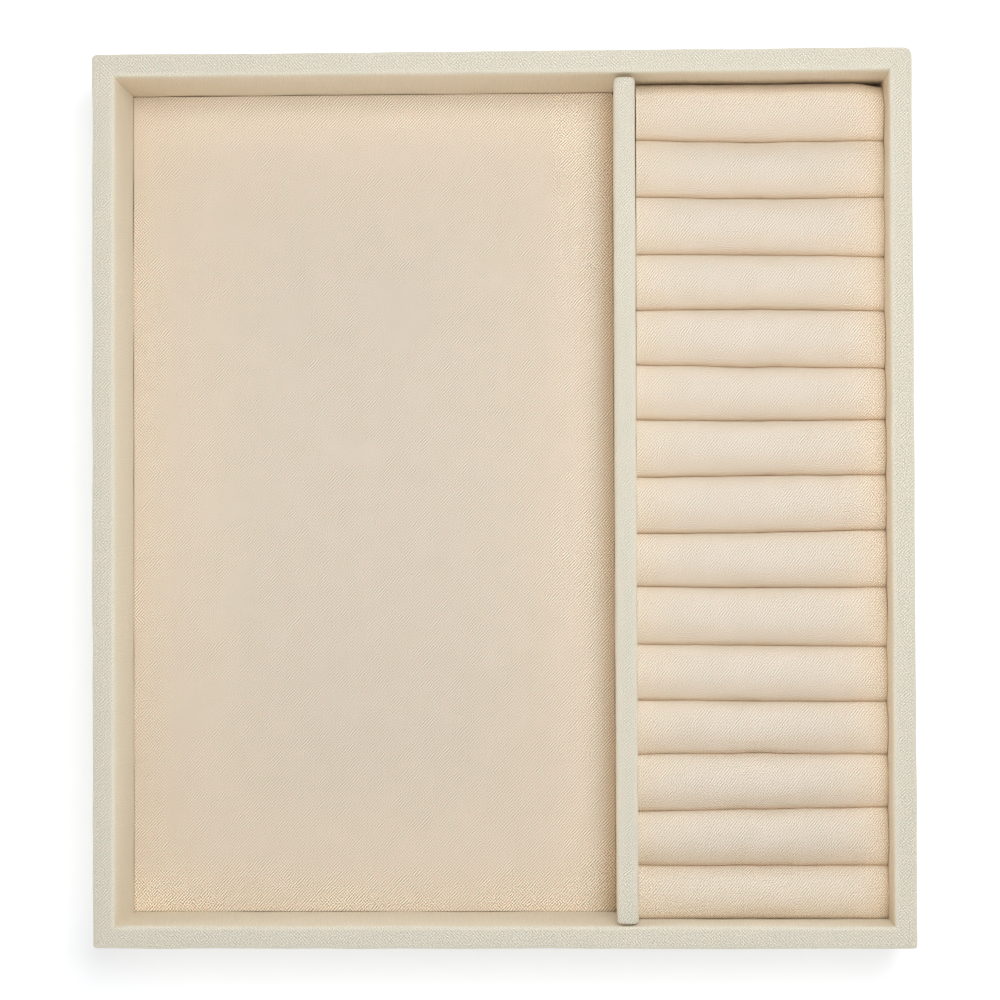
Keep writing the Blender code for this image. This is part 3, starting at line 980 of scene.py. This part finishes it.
def add_roll(number, seams, sizes, materials):
    label = f"{number:02d}"
    cover_node, foam_node = f"ring_roll_cover_{label}", f"ring_roll_foam_{label}"
    back, front = seams[number - 1], seams[number]
    low, high = corners(cover_node)
    low.x += LEFT_GAPS_MM.get(number, LEFT_GAP_MM) * 0.001
    high.x += sizes.roll_end_spread + sizes.pressed_in
    trimmed = Vector((sizes.trim, 0, 0))
    pressed = Vector((sizes.end_press, 0, -0.0002))
    cover = shape_roll(f"ring_roll_cloth_{label}", low - trimmed, high + pressed, sizes)
    swell(cover, sizes)
    settle_roll(cover, back, front, low, high, sizes)
    apply_modifier(cover, "SMOOTH", factor=0.5, iterations=1)
    apply_modifier(cover, "SUBSURF", levels=1, render_levels=1)
    uneven(cover, sizes.roll_unevenness, 0.013, number * 5.1)

    # The end that stands against the divider is cut square
    bpy.ops.object.mode_set(mode="EDIT")
    bpy.ops.mesh.select_all(action="SELECT")
    bpy.ops.mesh.bisect(plane_co=low, plane_no=(1, 0, 0), clear_inner=True, use_fill=True)
    bpy.ops.object.mode_set(mode="OBJECT")
    keep_in_bay(cover, back, front, low, high, sizes)
    if number == 1:
        drop_back_edge(cover, back, low, high, sizes)
    middle_y = (low.y + high.y) / 2
    lay_roll_weave(cover, (low.x + high.x) / 2, middle_y, high.z)

    # The last roll has a wall in front of it in place of a neighbour, so its painted shade is weaker in front and
    # stronger behind
    wide_under, wide_behind = (0.16, 0.36) if number == ROLL_COUNT else (0.36, 0.12)

    # Painted shade: darker, warmer colour along both seams of a roll and towards its wall end
    def painted_shade_at(point):
        to_front, to_back = point.y - front(point.x), back(point.x) - point.y
        under = wide_under * (1 - ease(to_front, 0.0020, 0.0095)) + 0.60 * (1 - ease(to_front, 0.0002, 0.0022))
        behind = 0.50 * (1 - ease(to_back, 0.0, 0.0008)) + wide_behind * (1 - ease(to_back, 0.0010, 0.0050))
        beside = 0.75 * (1 - ease(high.x - point.x, 0.0, 0.0028)), 0.34 * (1 - ease(high.x - point.x, 0.0015, 0.0105))
        return max(under, behind, *beside)

    paint_shade(cover, painted_shade_at)

    # The core is the same shape, drawn in by the cloth and its clearance
    core = cover.copy()
    core.data = cover.data.copy()
    core.name = core.data.name = f"ring_roll_core_{label}"
    bpy.context.scene.collection.objects.link(core)
    work_on(core)
    shrink_core(core, low)
    hand_over(core, materials["foam"], "foam", "ring_pad", foam_node)

    work_on(cover)
    bpy.ops.object.mode_set(mode="EDIT")
    choose("FACE", lambda face: face.normal.z < -0.8 and face.calc_center_median().z < low.z + 0.0015)
    bpy.ops.mesh.delete(type="FACE")
    bpy.ops.object.mode_set(mode="OBJECT")
    give_thickness(cover, sizes.cloth)
    hand_over(cover, materials["blush"], "blush_cloth", "ring_pad", cover_node)


def shrink_core(core, low):
    inward = COVERED
    normals = [v.vector.copy() for v in core.data.vertex_normals]
    for vertex, normal in zip(core.data.vertices, normals):
        vertex.co -= normal * inward
        vertex.co.z = max(low.z, vertex.co.z - (inward if vertex.co.z < low.z + 0.002 else 0))
    apply_modifier(core, "DECIMATE", ratio=0.3)


class RINGTRAY_OT_ring_rolls(bpy.types.Operator):
    """Sews the fifteen ring rolls: a foam core and a blush cloth cover each"""

    bl_idname = "ringtray.ring_rolls"
    bl_label = "Ring rolls"

    def execute(self, context):
        sizes, colours = context.scene.ring_tray_sizes, context.scene.ring_tray_colours
        materials = {
            "blush": blush_material("woven_blush", 0.22, 0.0004),
            "foam": foam_material(colours.foam),
        }
        seams, centre = roll_seams(sizes)
        for number in range(1, ROLL_COUNT + 1):
            add_roll(number, seams, sizes, materials)
        return {"FINISHED"}


class RINGTRAY_OT_boards_and_cards(bpy.types.Operator):
    """Gives the boards and cards under the cloth their finishes"""

    bl_idname = "ringtray.boards_and_cards"
    bl_label = "Boards and cards"

    def execute(self, context):
        colours = context.scene.ring_tray_colours
        for names, material in (
            (BOARD_NODES, board_material(colours.board)),
            (CARD_NODES, card_material(colours.card)),
        ):
            for name in names:
                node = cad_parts[name]
                node.data.materials.clear()
                node.data.materials.append(material)
        return {"FINISHED"}


class RINGTRAY_OT_stage(bpy.types.Operator):
    """Sets the pale floor, the soft light and the camera"""

    bl_idname = "ringtray.stage"
    bl_label = "Stage"

    def execute(self, context):
        scene = context.scene
        scene.view_settings.view_transform = "Standard"
        bpy.ops.object.select_all(action="DESELECT")
        bpy.ops.mesh.primitive_plane_add(size=16, location=(0, 0, 0))
        floor = context.object
        floor.name = "floor"
        floor.data.materials.append(backdrop_material("floor", scene.ring_tray_colours.floor, 0.37))
        self.light_world(scene)
        self.hang_lamps()
        self.place_camera(scene)
        return {"FINISHED"}

    def light_world(self, scene):
        """A dome that is brightest near the horizon, which the camera sees as plain white."""
        world = bpy.data.worlds.new("studio")
        world.use_nodes = True
        nodes, links = world.node_tree.nodes, world.node_tree.links
        dome = nodes["Background"]
        dome.inputs["Color"].default_value = (1, 1, 1, 1)
        height = nodes.new("ShaderNodeSeparateXYZ")
        links.new(nodes.new("ShaderNodeTexCoord").outputs["Generated"], height.inputs[0])
        strength = None
        for low, high, near_value, far_value in DOME_STEPS:
            step = nodes.new("ShaderNodeMapRange")
            step.interpolation_type = "SMOOTHSTEP"
            links.new(height.outputs["Z"], step.inputs["Value"])
            for socket, value in zip(step.inputs[1:5], (low, high, near_value, far_value)):
                socket.default_value = value
            if strength is None:
                strength = step.outputs[0]
                continue
            total = nodes.new("ShaderNodeMath")
            links.new(strength, total.inputs[0])
            links.new(step.outputs[0], total.inputs[1])
            strength = total.outputs[0]
        links.new(strength, dome.inputs["Strength"])
        white = nodes.new("ShaderNodeBackground")
        white.inputs["Color"].default_value = (1, 1, 1, 1)
        rays = nodes.new("ShaderNodeLightPath")
        mix = nodes.new("ShaderNodeMixShader")
        links.new(rays.outputs["Is Camera Ray"], mix.inputs[0])
        links.new(dome.outputs[0], mix.inputs[1])
        links.new(white.outputs[0], mix.inputs[2])
        links.new(mix.outputs[0], nodes["World Output"].inputs["Surface"])
        scene.world = world

    def hang_lamps(self):
        """A soft key lamp high at the back right, and a wide weaker one at the front left."""
        for name, place, size, energy in SOFTBOXES:
            bpy.ops.object.light_add(type="AREA", location=place)
            lamp = bpy.context.object
            lamp.name = name
            lamp.rotation_euler = (-Vector(place)).to_track_quat("-Z", "Y").to_euler()
            lamp.data.shape = "DISK"
            lamp.data.size = size
            lamp.data.energy = energy

    def place_camera(self, scene):
        bpy.ops.object.camera_add(location=(0.02583, -0.02080, 0.76332))
        camera = bpy.context.object
        camera.rotation_euler = [math.radians(turn) for turn in (1.0073, 1.5002, -0.2201)]
        camera.data.lens = 83.904
        camera.data.shift_x, camera.data.shift_y = -0.024, 0.024
        scene.camera = camera


class RINGTRAY_PT_panel(bpy.types.Panel):
    """Lists the makers of the tray's pieces and the sizes and colours they use"""

    bl_idname = "RINGTRAY_PT_panel"
    bl_label = "Ring tray insert"
    bl_space_type = "VIEW_3D"
    bl_region_type = "UI"
    bl_category = "Ring tray"

    def draw(self, context):
        for operator in OPERATORS:
            self.layout.operator(operator.bl_idname)
        for group in (context.scene.ring_tray_sizes, context.scene.ring_tray_colours):
            column = self.layout.column()
            for name in group.__annotations__:
                column.prop(group, name)


OPERATORS = (
    RINGTRAY_OT_boards_and_cards,
    RINGTRAY_OT_wall_linens,
    RINGTRAY_OT_divider_linen,
    RINGTRAY_OT_floor_liner,
    RINGTRAY_OT_underside_felt,
    RINGTRAY_OT_ring_rolls,
    RINGTRAY_OT_stage,
)
CLASSES = (RingTraySizes, RingTrayColours, *OPERATORS, RINGTRAY_PT_panel)


def register():
    for item in CLASSES:
        bpy.utils.register_class(item)
    bpy.types.Scene.ring_tray_sizes = PointerProperty(type=RingTraySizes)
    bpy.types.Scene.ring_tray_colours = PointerProperty(type=RingTrayColours)


def unregister():
    del bpy.types.Scene.ring_tray_sizes
    del bpy.types.Scene.ring_tray_colours
    for item in reversed(CLASSES):
        bpy.utils.unregister_class(item)


def main():
    register()
    bpy.ops.ringtray.boards_and_cards()
    bpy.ops.ringtray.wall_linens()
    bpy.ops.ringtray.divider_linen()
    bpy.ops.ringtray.floor_liner()
    bpy.ops.ringtray.underside_felt()
    bpy.ops.ringtray.ring_rolls()
    bpy.ops.ringtray.stage()


if __name__ == "__main__":
    main()
